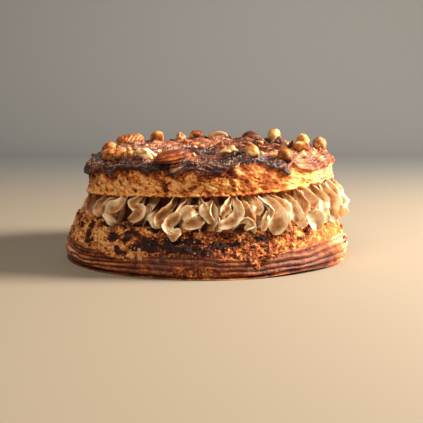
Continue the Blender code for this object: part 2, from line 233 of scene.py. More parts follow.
def shapeLowerHalf():
    spec = lowerHalf
    mesh, station, outwards = spunRing(sectionOf(spec), spec["turns"], spec["cuts"])
    torn, scorch, tone, grooveShade, sugar, wet, mild = (mesh.verts.layers.float.new(n) for n in crustMarks)
    for vert, spot, height, radius, bearing, normal in ringSpots(mesh, station, outwards):
        near = partial(nearBearing, bearing)
        side = ease(0.3, 3, height) * (1 - 0.8 * ease(31, spec["top"], height))
        outside = ease(58, 70, radius)
        piped = bare = 0.0  # how far this is piped band, and how far its ridges are worn off
        if radius > 90:
            line = keyed(bearing, spec["ridgeTop"]) + 1.1 * wave(bearing / 4, 0, 1) + 0.8 * wave(bearing / 0.9, 0, 3)
            piped = (1 - ease(line - 0.6, line + 0.6, height)) * outside
            bare = noise(spot / 11 + Vector((3, 0, 8))) + 0.35 * noise(spot / 3)
            bare = ease(0.25, 0.5, bare) * near(-90, 50)
            bare = max(bare, near(-94, 19) * ease(11, 9, height + 3 * noise(spot / 4)))
            piped *= 1 - 0.85 * bare
        lane = ridgeLane(bearing, height)
        crest = abs(sin(pi * lane)) ** 0.6  # 1 on a ridge, 0 in a groove
        fine = abs(sin(tau * lane + 1.1)) ** 0.7  # thinner grooves on the ridges
        own = sin(7.7 * (lane // 1) + bearing / 23)  # each ridge a little different
        layered = Vector((0.6 * spot.x, 0.6 * spot.y, spot.z))  # torn dough lies in layers
        lump = lumps(spot, spec["lumpSize"], 5.0)
        nub = nubs(layered, spec["nubSize"], 2.0)
        shard = ridged(layered, spec["shardSize"], 3.0) + 0.6 * noise(spot / 1.2)
        crumb, front, left, right = 1 - piped, near(-92, 42), near(-150, 50), near(-15, 75)
        push = spec["lumpDepth"] * lump * (0.25 + 0.75 * crumb)  # outwards, summed up over all forms
        push += crumb * (spec["nubDepth"] * (nub - 0.55) + spec["shardDepth"] * (shard - 0.55)) * (1 - 0.7 * right)
        push -= piped * spec["ridgeDepth"] * (1 + 0.3 * left + 0.4 * right) * (1 - crest)
        push += piped * (0.5 + 0.45 * own * crest + (0.12 * shard - 0.3 * (1 - fine)) * (1 - right))
        vert.co += normal * push * side
        vert.co += noise_vector(spot / 2.4) * spec["jolt"] * (1 - 0.6 * right) * crumb * side * outside
        vert.co.z += spec["footLift"] * near(-50, 26) * ease(9, 0, height) * ease(96, 108, radius)
        vert.co.z += keyed(bearing, spec["risen"]) * ease(20, 33, height) * ease(84, 94, radius)
        vert.co.z = max(0.0, vert.co.z)
        burnt = 0.0
        if radius > 90:
            ragged = 0.3 * (shard - 0.4) + 0.6 * noise(spot / 1.5)  # frays the edges of the burnt spots
            burnt = burntAt(spec["burns"], bearing, height, ragged, 0.5, 1.35)
        patch = noise(layered / 9 + Vector((0, 7, 0))) + 0.5 * noise(layered / 3.3)
        low = 0.15 - 0.32 * front + 0.6 * near(-36, 44)
        patchy = ease(13, 18, height) * ease(low, low + 0.65 + 0.2 * front, patch + 0.5 * (nub - 0.4))
        burnt = max(burnt, patchy * crumb)
        # tones from dark to pale: golden for the crumb, streak for the ridges
        golden = noise(spot / 7 + Vector((4, 0, 0))) + 0.6 * noise(spot / 2.2) + 0.7 * bare - 0.6 * burnt - 0.8 * front
        golden += 0.2 * near(-126, 18) + 0.25 * near(-150, 30) - 0.5 * near(-32, 54)
        golden -= 0.6 * near(-62, 26) * ease(25, 15, height)
        golden = 0.4 * right + (1 - 0.4 * right) * ease(-0.6, 0.6, golden)
        streak = 0.36 + 0.3 * own * (1 - 0.5 * right + 0.6 * left) + 0.7 * near(-8, 32)
        streak += (0.8 - 0.6 * right) * wave(bearing / 7, height / 1.1, 6) - 0.6 * near(-110, 32) - 0.55 * near(-48, 36)
        streak += 0.75 * near(-18, 42) * ease(13, 20, height)
        # painted shade: darker in the grooves between the piped ridges and in the pits between the crumb's nubs
        deepShade = max(ease(0.36, 0.85, 1 - crest), 0.3 * (1 - fine) * (1 - right))
        pitShade = 0.7 * ease(0.30, 0.06, nub) + 0.6 * ease(0.15, -0.4, shard)
        glazed = max(near(-104, 24) * ease(7, 10, height), 0.6 * near(-150, 36))
        vert[torn] = crumb
        vert[scorch] = burnt * crumb
        vert[tone] = crumb * golden + piped * min(1.0 + 0.35 * near(-8, 32), max(0.0, streak))
        vert[grooveShade] = piped * deepShade + crumb * (1 - 0.7 * right) * pitShade
        vert[wet] = piped * glazed
        vert[mild] = crumb * near(-8, 62)
        vert[sugar] = piped * 0.35 * (1 - glazed) * ease(0.1, 0.7, 0.3 + noise(spot / 13 + Vector((9, 0, 0))))
    return mesh


upperHalf = {
    "rim": 101.0, "hole": 32, "bottom": 60.8,
    "outer": [(-3, 0), (-0.3, 3), (0, 7.5), (0, 12), (0.2, 16), (-0.9, 19), (-3, 21.8), (-6.5, 24), (-10.5, 25.8),
        (-14, 26.9), (-19, 27.9), (-25, 28.5), (-31, 28.3), (-38, 27.3), (-46, 25.3)],
    "inner": [(13, 22), (7.5, 17.5), (5, 10), (6.5, 2.5), (10, 0)],
    "gaps": [(89, 0.62), (46, 0.98), (0, 1.7)], "underGap": 7,
    "shift": (2.6, 0, 0),
    "turns": 60, "cuts": 11,
    "lipDepth": 3.4, "backDepth": 2.0,  # how far the lip stands out, and the crumb at the left stands back
    "tearDepth": 1.6, "foldTear": 2.6,  # how ragged the lower edge is
    "jolt": 0.8,
    "ropePitch": 8, "ropeDepth": 2.2,
    "strandDepth": 1.3,
    "lumpSize": 12, "lumpDepth": 2.0,
    "nubSize": 6.5, "nubDepth": 1.2,
    "foldDepth": 1.5,  # of the torn folds that run slantwise through the crumb
    "shardSize": 2.6, "shardDepth": 0.5,
    "nestRise": 2.6,  # the dough has puffed up round the nuts by this much
    # bearing and how much higher or lower the lower edge hangs there, then the same for the top
    "hem": [(-180, -6), (-160, -5.6), (-147, -4.6), (-137, -3.4), (-115, -1.6), (-85, -0.4), (-60, 1.6), (-50, 3),
        (-34, 5.1), (-20, 5.5), (-6, 4.5), (20, 2), (60, 0), (110, 0), (150, -3)],
    "roof": [(-180, 0), (-75, 0), (-30, 1.0), (0, 1.6), (30, 2.2), (60, 3.2), (90, 2.6), (120, 1.2), (150, 0.4)],
    # bearing and height of the lower edge of the dark dough that hangs over the crumb
    "lip": [(-180, 70), (-166, 71), (-153, 72.6), (-145, 75.5), (-137, 72.6), (-132.7, 77.2), (-124, 78.5),
        (-117.6, 77), (-111, 78.4), (-108.4, 77.6), (-105.4, 74.8), (-101, 78), (-93, 77.2), (-86, 77.4), (-81, 80),
        (-77, 83.2), (-66, 82.8), (-61, 79.2), (-55.1, 74.8), (-51, 80.0), (-47, 77.2), (-40, 75.5), (-32, 76.5),
        (-20, 78), (0, 76.5), (40, 79), (80, 76), (120, 79), (150, 74)],
    # dark patches on top: bearing, radius, half length in degrees, half width, strength
    "burns": [(74, 86, 30, 3.6, 1), (40, 72, 17, 11, 0.85), (96, 74, 22, 3, 0.7), (-64, 84, 12, 5, 0.9),
        (24, 92, 10, 4, 0.8), (-150, 90, 16, 6, 0.9), (165, 84, 14, 4, 0.8), (-172, 93, 16, 9, 1),
        (130, 88, 16, 3, 0.8), (-20, 78, 10, 3, 0.5), (-142, 69, 20, 2.5, 0.8), (152, 71, 16, 3, 0.7)],
}


def shapeUpperHalf():
    spec = upperHalf
    low, rim = spec["bottom"], spec["rim"]
    mesh, station, outwards = spunRing(sectionOf(spec), spec["turns"], spec["cuts"])
    torn, scorch, tone, grooveShade, sugar, wet, mild = (mesh.verts.layers.float.new(n) for n in crustMarks)
    nests = []  # where the nuts lie, and how far they reach
    for name in nuts:
        corner, opposite = (Vector(c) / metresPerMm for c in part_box(name))
        middle, across = (corner + opposite) / 2 - Vector(spec["shift"]), opposite - corner
        nests.append((middle.x, middle.y, (across.x + across.y) / 4))
    for vert, spot, height, radius, bearing, normal in ringSpots(mesh, station, outwards):
        near = partial(nearBearing, bearing)
        side = ease(low, low + 3, height)
        outside = ease(0.5 * rim, 0.7 * rim, radius)
        right = ease(-57, -49, bearing) * (1 - ease(10, 50, bearing))
        soft = ease(-92, -64, bearing) * (1 - ease(10, 50, bearing))  # where the crumb is torn more softly
        # the crumb on the side facing the key light is pushed to the crumb ramp's last, darker stop: painted shade
        # against the key light
        keyFacing = ease(0, 0.6, near(-4, 50))
        fuzz = noise(spot / 2.2 + Vector((0, 0, 5))) + 0.7 * noise(spot / 1.1)
        lip = keyed(bearing, spec["lip"]) + 1.0 * wave(bearing / 4, 0, 2) + 0.6 * fuzz
        dough = ease(lip - 0.4, lip + 0.5, height) if radius > 60 else 1.0
        crumb = 1 - dough
        over = dough * (1 - ease(lip + 4, lip + 10, height))  # the part of the dough that hangs over the crumb
        x, y = cos(radians(bearing)), sin(radians(bearing))
        drift = 3.5 * wave(3.4 * x, 3.4 * y, radius / 32)
        lane = (radius + 4 * slowWave(bearing, 9.0) + drift) / spec["ropePitch"]  # counts ropes outwards
        onTop = ease(low + 15, low + 22, height)
        rope = (0.5 - 0.5 * cos(tau * lane)) * onTop
        wander = 2.5 * wave(spot.x / 26, spot.y / 26, 3)
        strand = abs(sin(pi * ((radius - (0.6 + 0.5 * right) * height) / 3.7 + wander))) ** 0.6  # 0 between strands
        lump = lumps(spot, spec["lumpSize"], 12.0)
        nub = nubs(spot, spec["nubSize"], 6.0)
        shard = ridged(spot, spec["shardSize"], 7.0) + 0.6 * noise(spot / 1.2)
        around = rim * radians((bearing + 270) % 360)
        slant = 0.45 if bearing > -95 else 0.15
        along, level = around - slant * height, height + slant * around
        fold = 1 - 2.2 * abs(wave(along / 9, level / 3.4, 4) + 0.5 * wave(along / 4.2, level / 1.5, 8))  # 1 on a crest
        push = spec["lumpDepth"] * lump * (0.8 - 0.2 * dough)
        creased = spec["shardDepth"] * (shard - 0.4) + spec["foldDepth"] * (fold - 0.4)
        push += crumb * (spec["nubDepth"] * (nub - 0.4) * (1 - 0.8 * soft) + creased * (1 - 0.5 * soft))
        push -= spec["backDepth"] * crumb * near(180, 60)
        push += dough * 0.25 * (shard - 0.4 + fuzz)
        push -= dough * spec["strandDepth"] * (1 - strand) * (0.5 + 0.5 * max(over, right))
        push += outside * over * spec["lipDepth"] - rope * spec["ropeDepth"]
        vert.co += normal * push * side
        vert.co += noise_vector(spot / 2.3) * (spec["jolt"] * crumb * (1 - 0.75 * soft) + 0.25 * dough) * side
        vert.co.z += keyed(bearing, spec["hem"]) * (1 - ease(low + 1, low + 13, height))
        vert.co.z += keyed(bearing, spec["roof"]) * ease(low + 10, low + 22, height)
        tear = spec["tearDepth"] * wave(bearing / 1.3, 0, 8) + spec["foldTear"] * right * wave(bearing / 4.2, 0, 5)
        vert.co.z -= tear * ease(low + 2.5, low, height) * ease(85, 95, radius)
        patch = noise(spot / 12 + Vector((0, 3, 0))) + 0.4 * noise(spot / 4)
        # the overhanging rope's own dark baked colour, with painted shade making it darker between its strands
        edge = over * (1 - right) * (1.02 - 0.48 * strand + 0.28 * patch)
        bands = wave(lane * 0.9, 2.4 * x, 2.4 * y) + 0.3 * patch  # dark ones that follow the ropes
        roofDark = 0.55 * dough * onTop * ease(0.1, 0.4, bands) * (1 - 0.8 * right)
        if onTop:
            close = min(hypot(spot.x - x, spot.y - y) / reach for x, y, reach in nests)
            vert.co.z += spec["nestRise"] * (1 - ease(0.8, 1.9, close)) * onTop
            roofDark = max(roofDark, onTop * burntAt(spec["burns"], bearing, radius, 0.5 * patch, 0.6, 1.3))
        singed = 0.5 * crumb * ease(0.5, 1.1, patch + 0.6 * (nub - 0.4)) * (1 - 0.8 * soft)
        golden = noise(spot / 6 + Vector((8, 0, 0))) + 0.6 * noise(spot / 2.6) * (1 - 0.5 * right) + 0.7 * right
        golden -= 1.5 * near(-54, 36) * ease(-0.1, 0.4, wave(along / 13, level / 3.8, 21)) + 0.45 * near(-66, 26)
        golden += 0.3 * near(-155, 40) - 0.9 * ease(0.1, -0.8, fold) + 0.3
        # painted shadow: the crumb darkens just under the overhanging lip
        golden -= 0.7 * ease(lip - 4, lip, height) * (1 - right)
        golden = 0.25 * soft + (1 - 0.25 * soft) * ease(-0.55, 0.65, golden)  # softer torn dough is never as dark
        streak = 0.30 + 1.1 * wave(3 * lane, 9 * x, 9 * y) + 0.7 * noise(spot / 4.5) + 0.3 * right
        streak -= 0.25 * over + 0.2 * near(-140, 70) + 0.3 * near(160, 60)
        dusted = ease(-0.2, 0.4, 0.25 + noise(spot / 9 + Vector((5, 0, 0))))
        dusted += 0.5 * near(-150, 40) - 0.7 * near(-60, 20)
        vert[torn] = crumb
        vert[scorch] = max(edge, roofDark, singed)
        vert[tone] = crumb * (golden + 0.56 * keyFacing) + dough * min(1.0, max(0.0, streak))
        # painted shade between the dough's strands and in the creases of the torn folds
        vert[grooveShade] = dough * (1 - strand) * 0.9 + crumb * 0.4 * (1 - 0.7 * soft) * ease(-0.2, -1.0, fold)
        vert[sugar] = dough * dusted * ease(lip + 1, lip + 5, height)
        vert[wet] = 0.6 * dough * ease(lip + 4, lip + 1, height) * (1 - right)
        vert[mild] = crumb * soft * (1 - 0.7 * keyFacing)
    mesh.transform(Matrix.Translation(spec["shift"]))
    return mesh


cream = {
    "radius": 108, "shift": (3, 0, 0),
    "outerCount": 24, "innerCount": 9,
    "swirlRadius": 14.5, "petals": 6,
    # bearing and twist of a swirl from bottom to top, in radians
    "twist": [(-180, 0.9), (-78, 0.8), (-62, -0.3), (-30, -0.7), (20, -0.6), (60, 0.6), (120, 0.9)],
    "skew": 0.50,  # how far a petal leans over the next, in petals
    "bottom": 30.0, "top": 62.3, "lean": 6,
    "valley": 0.64,  # depth between petals, as a share of the radius
    "hook": 0.34,  # how far a petal's edge sways, in radians
    "ruffle": 2.4,  # loose wander of the whole petal, millimetres
    # the big folds that stand out from the swirls: a line down the fold as (bearing, height, distance out), then its
    # width, the turn of its face to the left in degrees and how hollow it is
    "folds": [
        ([(-164, 58, 100), (-169, 50, 106), (-167, 42, 109), (-158, 37.5, 109)], 11, -20, 0.3),
        ([(-152, 59, 100), (-157, 51, 106), (-156, 43, 109), (-151, 39, 109)], 10, -25, 0.35),
        ([(-140.9, 59, 100), (-145.8, 51.3, 106), (-146.4, 45, 109), (-143.4, 41, 110)], 10, -25, 0.35),
        ([(-135.5, 58, 101), (-139.2, 49.3, 106), (-143.0, 41, 108)], 6.5, -10, 0.2),
        ([(-129.5, 60, 100), (-130.5, 52.3, 106), (-133.6, 45, 109), (-131.0, 38, 110)], 12, 12, 0.5),
        ([(-120.3, 61, 100), (-123.6, 54.6, 106), (-119.4, 48.4, 109), (-124.6, 41.2, 110)], 8.5, -20, 0.1),
        ([(-118.0, 52.3, 98), (-117.4, 47.7, 102), (-115.2, 42.5, 104)], 8, 0, 0.1),
        ([(-112.0, 48.9, 102), (-113, 44.1, 107), (-111.0, 37.5, 109)], 6.5, 10, 0.4),
        ([(-105.0, 61, 99), (-107.6, 52, 106), (-110.2, 44.5, 109), (-109.3, 38, 110)], 10.5, -25, 0.12),
        ([(-99.6, 59.5, 99), (-103.2, 49.5, 106), (-107.4, 39.5, 110), (-104.6, 32.8, 112)], 10, -25, 0.12),
        ([(-107.5, 36, 109), (-104.5, 32.5, 112.5), (-101.5, 36.5, 110)], 7.5, 0, -0.15),
        ([(-94.5, 51.6, 101), (-97.8, 50.2, 107), (-101.3, 45.2, 107)], 9, -5, 0.4),
        ([(-92.7, 44.2, 102), (-96.4, 41.8, 108), (-100.2, 38.6, 108)], 8.5, 5, 0.4),
        ([(-94.6, 61, 98), (-92.8, 53.8, 102), (-91.5, 47.9, 103)], 7, 20, 0.2),
        ([(-89.0, 58, 99), (-91.0, 50, 105), (-89.1, 41.5, 108)], 8, 15, 0.35),
        ([(-86.5, 47, 102), (-86.3, 41.5, 108), (-88.5, 36.5, 109)], 6.5, -15, 0.3),
        ([(-81.0, 61, 99), (-83.7, 53.8, 104), (-85.4, 46, 106)], 8.5, -15, 0.2),
        ([(-80.0, 62, 99), (-78.4, 52, 107), (-81.3, 44, 111), (-87.2, 39.4, 111)], 9.5, 18, 0.12),
        ([(-77.3, 57.5, 99), (-75.2, 49.2, 105), (-74.0, 39.4, 107)], 11, 10, 0.15),
        ([(-79.6, 41.5, 108), (-76.5, 44.6, 111), (-73.8, 40.4, 112), (-77.0, 36.4, 111)], 5.5, 10, 0.3),
        ([(-71.3, 61, 99), (-70.1, 53.8, 103), (-69.8, 46, 104)], 7, 20, 0.25),
        ([(-69.9, 62, 99), (-65.0, 50.9, 107), (-67.4, 43.6, 110), (-69.3, 34.8, 110)], 6.5, 30, 0.1),
        ([(-66.3, 61, 99), (-63.0, 51.3, 107), (-63.0, 41.1, 111), (-65.3, 32.2, 111)], 13, 10, 0.10),
        ([(-63.4, 62, 99), (-58.5, 50.8, 107), (-58.6, 41.1, 110), (-55.5, 33.6, 110)], 8.5, 25, 0.2),
        ([(-56.0, 62, 99), (-53.0, 50.0, 106), (-52.4, 39.4, 109)], 9, 25, 0.3),
        ([(-50.0, 65, 99), (-47.0, 53.3, 106), (-51.3, 42.5, 110), (-49, 35, 110)], 9, 30, 0.25),
        ([(-45.8, 65.5, 99), (-40.6, 54.6, 105), (-44.5, 46, 109)], 9.5, 30, 0.2),
        ([(-47.2, 50, 103), (-42.6, 41.2, 109), (-40.1, 32, 110)], 11, 20, 0.2),
        ([(-39, 66.5, 99), (-34.1, 55, 105), (-36.8, 46, 109), (-33.5, 36, 110)], 10, 25, 0.2),
        ([(-31, 67.5, 99), (-27.0, 54, 106), (-29.5, 44, 109), (-25, 35, 110)], 11, 22, 0.25),
        ([(-22, 68, 99), (-18.0, 54, 105), (-21.0, 45, 109), (-17.5, 36, 110)], 10, 28, 0.2),
        ([(-13, 67.5, 99), (-9.0, 53, 106), (-12, 43.5, 109), (-8, 35, 110)], 11, 20, 0.25),
    ],
    # the folds round the sides and back, laid one after another from the first bearing to the last
    "rowFrom": -4, "rowTo": 186, "rowStep": 5.4,
    "foldThick": 2.5, "foldWidth": 11,
    "foldTurn": 1.7, "foldHollow": 0.38,  # how much more the folds turn and hollow than the numbers above say
    "leftIn": 10,  # the cream stands less far out on the left
    "heart": [(94, 33.5), (88, 50), (84, 68), (56, 68), (53, 50), (50, 33.5)],  # section of the cream behind the swirls
}


def newBall(mark, make, **fineness):  # an empty mesh with its mark, and the ball that is copied into it
    mesh = bmesh.new()
    make(mesh, radius=1, **fineness)
    ball = bpy.data.meshes.new("ball")
    mesh.to_mesh(ball)
    mesh.clear()
    return mesh, ball, mesh.verts.layers.float.new(mark)


def copyBall(mesh, ball):  # the vertices of one more ball
    start = len(mesh.verts)
    mesh.from_mesh(ball)
    mesh.verts.ensure_lookup_table()
    return mesh.verts[start:]


def drawnIn(bearing):  # by how much the cream stands less far out at the left
    return cream["leftIn"] * nearBearing(bearing, 180, 62)


def pipeSwirl(mesh, ball, valley, bearing, distance, radius, seed):
    spec = cream
    petals, low = spec["petals"], spec["bottom"]
    tall = spec["top"] + 5 * nearBearing(bearing, -48, 42) - low
    turned = Matrix.Rotation(radians(bearing), 4, "Z")
    inward = -1 if distance > 70 else 1
    if inward < 0:
        distance -= drawnIn(bearing)
    place = Matrix.Translation(spec["shift"]) @ turned @ Matrix.Translation((distance, 0, 0))
    twist = keyed(bearing if bearing < 180 else bearing - 360, spec["twist"])
    for vert in copyBall(mesh, ball):
        rise = acos(max(-1.0, min(1.0, -vert.co.z))) / pi
        count = petals * atan2(vert.co.y, vert.co.x) / tau
        which = round(count) % petals
        off = count - round(count)  # -0.5 to 0.5 across a petal
        off -= 0.1 * sin(tau * off)  # more facets on the crest
        own = sin(12.9898 * which + 3.1 * seed)  # each petal a little different
        other = sin(7.31 * which + 5.7 * seed + 1)
        blade = exp(-((off / 0.11) ** 2))
        broad = cos(pi * off) ** 2
        web = 0.50 * broad + 0.50 * blade
        belly = sin(pi * rise)
        tongue = exp(-(((rise - 0.24) / 0.1) ** 2))
        girth = 1.12 * max(0.0, belly) ** 0.5 * (1 - 0.62 * rise**1.5)
        girth *= 1 + 0.08 * own * belly + blade * 0.06 * sin(10 * rise + 4 * other) + 0.16 * (1 + other) * web * tongue
        share = girth * (1 - spec["valley"] * ease(0.0, 0.22, rise) * (1 - web))
        lap = spec["skew"] * (1 + 0.35 * other) * copysign(1, twist)
        angle = tau * (round(count) + off + lap * web) / petals + seed + twist * rise
        angle += 0.22 * sin(tau * (rise + 0.5 * other + seed))
        angle += spec["hook"] * (0.4 + 0.6 * blade) * web * sin(5.5 * rise + 3 * own + seed)
        drop = 2.6 * own * ease(0.5, 0.1, rise) * broad**0.5
        x, y = cos(angle) * share * radius, sin(angle) * share * radius
        z = low + tall * 0.5 * (1 - cos(pi * rise)) + drop
        up = max(0.0, (z - low) / tall)
        spot = place @ Vector((x + inward * spec["lean"] * up**2, y, z))
        vert.co = spot + noise_vector(spot / 9) * spec["ruffle"] * belly * min(1.0, share * 1.5)
        # painted shade: darker in the valleys between petals, at the top and foot, and round the left side
        vert[valley] = (1 - web if 0.04 < rise < 0.97 else 0.6) + 0.8 * nearBearing(bearing, 195, 60)


def shapeSwirls(numbers, sides, rings):
    outer, inner, size = cream["outerCount"], cream["innerCount"], cream["swirlRadius"]
    mesh, ball, valley = newBall("valley", bmesh.ops.create_uvsphere, u_segments=sides, v_segments=rings)
    for i in numbers:
        if i < outer:
            radius = size * (1 + 0.05 * sin(1.7 * i))
            bearing = 360 * i / outer + 2.5 * sin(3.1 * i)
            pipeSwirl(mesh, ball, valley, bearing, cream["radius"] - radius, radius, 0.37 * i + 0.9 * sin(2.3 * i))
        else:
            i -= outer
            pipeSwirl(mesh, ball, valley, 360 * i / inner, 38 + 0.85 * size, 0.85 * size, 1.3 * i)
    return mesh


def layFold(mesh, ball, valley, fold, seed):  # one leaf of cream, drawn out of a ball along its line
    spec = cream
    line, width, roll, hollow = fold
    knots = []
    for bearing, height, distance in line:
        knots.append(outwardAt(bearing) * (distance - drawnIn(bearing)) + height * upwards)
    last = len(knots) - 1
    near = partial(nearBearing, line[0][0])
    # painted shade on the left and front left of the ring, with a little painted light on the front right
    sideShade = 0.9 * near(-168, 44) - 0.15 * near(-35, 60) + 0.1 * near(-108, 24)

    def lineAt(share):
        i = min(last - 1, max(0, int(share * last)))
        return splinePoint(*(knots[min(last, max(0, i + k))] for k in (-1, 0, 1, 2)), share * last - i)

    for vert in copyBall(mesh, ball):
        rise = acos(max(-1.0, min(1.0, -vert.co.z))) / pi  # 0 at the foot, 1 at the tip under the lid
        turn = atan2(vert.co.y, vert.co.x)
        across = copysign(abs(cos(turn)) ** 0.8, cos(turn))
        here = lineAt(1 - rise)
        along = (lineAt(min(1.0, 1.03 - rise)) - lineAt(max(0.0, 0.97 - rise))).normalized()
        outward = Vector((here.x, here.y, 0)).normalized()
        outward = (outward - along * outward.dot(along)).normalized()
        sideways = along.cross(outward)  # to the left for who looks at it
        tilt = radians(spec["foldTurn"] * roll) + 0.3 * sin(4.5 * rise + seed)
        face = outward * cos(tilt) + sideways * sin(tilt)
        wide = sideways * cos(tilt) - outward * sin(tilt)
        taper = max(0.0, sin(pi * rise**0.85)) ** 0.55 * (1 - 0.35 * rise**3)
        half = 0.56 * width * taper * (1 + 0.12 * sin(7 * rise + 2 * seed))
        curl = (hollow + spec["foldHollow"]) * half * across**2 * (1 + 0.4 * sin(5 * rise + seed))
        curl += 1.2 * across * taper * sin(8 * rise + 3.3 * seed)
        curl += 0.5 * across**2 * taper * sin(21 * rise + 5 * seed)  # small frills along the edges
        body = 0.5 * spec["foldThick"] * (0.6 + 0.2 * across**2) * min(1.0, 1.5 * taper)
        spot = here + wide * (across * half) + face * (curl + sin(turn) * body)
        vert.co = spot + noise_vector(spot / 8) * 0.9 + noise_vector(spot / 3.5) * 0.7
        # painted shade: darker in the middle of each fold than at its rims, and towards its tip under the lid
        vert[valley] = 0.62 * (1 - across**2) ** 1.5 + 0.35 * ease(0.55, 1.0, rise) + sideShade


def foldRow():  # the folds that the photo's side doesn't show, each a little different
    folds = []
    bearing, number = cream["rowFrom"], 0
    while bearing < cream["rowTo"]:
        sway, size = sin(2.1 * number + 1), sin(3.7 * number)
        lean = 2.5 * sin(0.7 * number) + 1.2 * sway
        top = cream["top"] - 1 + size + 5 * nearBearing(bearing, -6, 40)
        middle = bearing + 1.8 * sin(1.9 * number)
        line = [(bearing + lean, top, 99), (middle + 0.6 * lean, 52 + 2 * sway, 105.5 + size)]
        line.append((middle - lean, 43.5 + size, 109))
        if number % 4 != 1:
            line.append((bearing - 0.3 * lean, 35.5 + 1.5 * sway, 110))
        folds.append((line, cream["foldWidth"] + 1.6 * size, 25 * sin(1.3 * number), 0.2 + 0.12 * sway))
        bearing += cream["rowStep"] * (1 + 0.18 * sway)
        number += 1
    return folds


def shapeFolds(folds):
    mesh, ball, valley = newBall("valley", bmesh.ops.create_uvsphere, u_segments=32, v_segments=30)
    for number, fold in enumerate(folds):
        layFold(mesh, ball, valley, fold, 1.7 * number)
    mesh.transform(Matrix.Translation(cream["shift"]))
    return mesh


def shapeHeart():  # the cream behind the swirls
    mesh = spunRing([Vector(p) for p in cream["heart"]], 60, 0)[0]
    valley = mesh.verts.layers.float.new("valley")
    for vert in mesh.verts:
        # painted shade: the hidden core takes the darkest cream tone
        vert[valley] = 1.0
    mesh.transform(Matrix.Translation(cream["shift"]))
    return mesh


bedDepth = 1.6  # the nuts are bedded a little into the dough
# kind, length, width, height, the turns about X, Y and Z that lay it down, then how dark it is roasted
nuts = {
    "pecan_far_left": ("pecan", 25, 15, 10, 14, -6, 15, 0.2),
    "hazelnut_left_a": ("hazelnut", 12, 10, 9.5, 0, 8, 210, 0.6),
    "hazelnut_left_b": ("hazelnut", 11, 10, 9, 0, 0, 40, 0.5),
    "half_left": ("split", 12, 10, 8, 0, 8, 60, 0.45),
    "hazelnut_left_c": ("hazelnut", 11, 9, 8.5, 0, 0, 95, 0.4),
    "piece_left": ("piece", 15, 10, 8, 0, 10, -25, 0.2),
    "hazelnut_back_a": ("hazelnut", 13, 12, 11, 0, 40, 120, 0.6),
    "piece_back": ("piece", 8, 7, 8, 0, 0, 40, 0.6),
    "pecan_front": ("pecan", 29, 14, 9, 16, -6, 28, 0.66),
    "hazelnut_back_b": ("hazelnut", 14, 11, 10.5, 0, 0, 4, 0.8),
    "half_back": ("half", 18, 9.5, 11, 104, 0, 0, 0.7),
    "skin_back": ("skin", 16, 12, 11, 0, 0, -8, 0.6),
    "hazelnut_back_c": ("hazelnut", 13, 12, 12, 0, 0, 60, 0.15),
    "piece_front": ("piece", 13, 9, 8.5, 0, 0, 8, 0.25),
    "hazelnut_front_a": ("hazelnut", 15, 12, 11, 0, 14, -50, 0.35),
    "hazelnut_front_b": ("hazelnut", 15, 12, 11, 0, 22, -60, 0.78),
    "hazelnut_right_a": ("hazelnut", 15, 12, 10.5, 0, 8, -30, 0.5),
    "hazelnut_right_b": ("hazelnut", 11, 11, 12, 0, -50, 70, 0.1),
    "skin_right": ("skin", 13, 12, 12, 0, 20, -40, 0.0),
    "piece_right": ("piece", 9, 7, 5, 0, 0, 0, 0.4),
}


def nutSpot(kind, spot, seed):  # a point of the unit ball, long axis along X, drawn into the nut's shape
    x, y, z = spot
    if kind == "pecan":
        wander = 1.1 * noise(2.2 * spot + Vector((seed, 0, 0)))
        slant = 5.5 + 4.5 * cos(seed)  # the wrinkles run along the nut or slantwise across it
        wrinkle = abs(sin(3.6 * atan2(abs(y), z) + slant * x + wander)) ** 0.8
        creases = (1 - wrinkle) * 0.32 * ease(0.06, 0.2, abs(y))
        y, z = y * (1 + x * x) ** 0.4, z * (1 + x * x) ** 0.4  # blunt ends
        furrow = 0.42 * exp(-((y / 0.13) ** 2)) * max(z, 0) ** 0.6
        size = 1.02 - creases + 0.06 * noise(4 * spot)
        return Vector((x, y * size, z * size - furrow)), min(1.0, 3.6 * creases + 1.2 * (furrow > 0.12))
    if kind == "piece":
        lump = 0.55 * noise(1.1 * spot + Vector((seed, 3, 0))) + 0.10 * cell(1.4 * spot + Vector((seed, 0, 0)))
        return spot * (1 + lump + 0.03 * noise(5 * spot)), 0.3
    point = 1 - 0.22 * ease(0.1, 1, x)
    rind = 0.0
    if kind == "split":  # a dark seam between its two halves
        rind = exp(-(((y - 0.12) / 0.09) ** 2)) * ease(-0.2, 0.3, z)
        point *= 1 - 0.14 * rind
    if kind == "half":
        rind = ease(0.1, -0.05, z)
        if z > 0.12:
            z = 0.12 - 0.10 * ease(0.75, 0.2, hypot(x, y))
    lump = 0.15 * noise(1.3 * spot + Vector((seed, 0, 0)))
    stripes = 0.012 * sin(17 * atan2(y, z) + 3 * noise(2 * spot))
    dents = 0.03 * noise(3.3 * spot + Vector((0, seed, 0))) - 0.05 * ease(0.75, 1, x)
    return Vector((x * 1.02, y * point, z * point)) * (1 + lump + stripes + dents), rind


def shapeNut(name, seed):
    kind, length, width, height, roll, pitch, yaw, dark = nuts[name]
    mesh = bmesh.new()
    bmesh.ops.create_uvsphere(mesh, u_segments=56, v_segments=36, radius=1)
    mesh.transform(Matrix.Rotation(pi / 2, 4, "Y"))
    valley, roast = (mesh.verts.layers.float.new(n) for n in ("valley", "roast"))
    for vert in mesh.verts:
        vert[roast] = dark + 0.8 * noise(1.1 * vert.co + Vector((0, 0, seed)))
        vert.co, vert[valley] = nutSpot(kind, vert.co, seed)
    turn = Euler([radians(a) for a in (roll, pitch, yaw)]).to_matrix().to_4x4()
    mesh.transform(turn @ Matrix.Diagonal((length / 2, width / 2, height / 2, 1)))
    low, high = (Vector(corner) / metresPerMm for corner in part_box(name))
    ownLow, ownHigh = (Vector([pick(v.co[k] for v in mesh.verts) for k in range(3)]) for pick in (min, max))
    move = (low + high - ownLow - ownHigh) / 2
    move.z = low.z - ownLow.z - bedDepth
    mesh.transform(Matrix.Translation(move))
    return mesh


